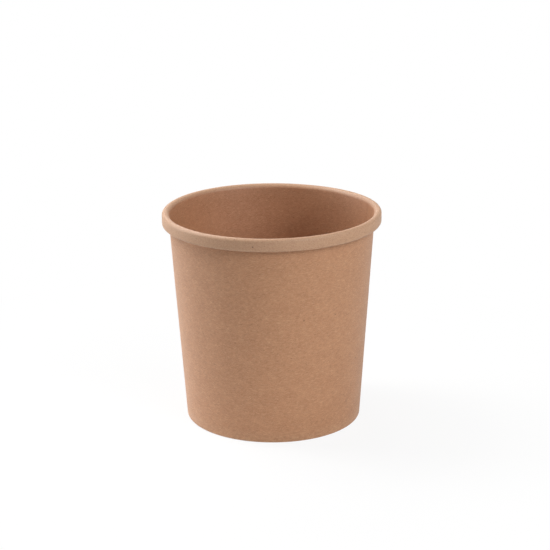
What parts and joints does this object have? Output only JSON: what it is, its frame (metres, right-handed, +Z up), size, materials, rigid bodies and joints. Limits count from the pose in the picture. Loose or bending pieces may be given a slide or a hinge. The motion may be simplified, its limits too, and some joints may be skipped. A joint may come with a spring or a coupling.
{
  "type": "paper soup cup",
  "caption": "Open brown kraft paper cup for soup, with a tapered side wall, a rolled rim that takes a push-on lid, and a recessed bottom held in a folded hem.",
  "frame": {"origin": "centre of the foot, on the table that the cup stands on", "axes": "+Z up along the cup's axis; the side seam's cut edge lies 6 degrees from +X towards +Y"},
  "size_m": [0.098, 0.098, 0.096],
  "materials": {
    "wall_board": "uncoated brown kraft board outside, matt sealing film inside",
    "bottom_board": "uncoated brown kraft board below, matt sealing film above"
  },
  "bodies": {
    "root": {"side_wall": "wall_board", "bottom_disc": "bottom_board"}
  },
  "joints": []
}
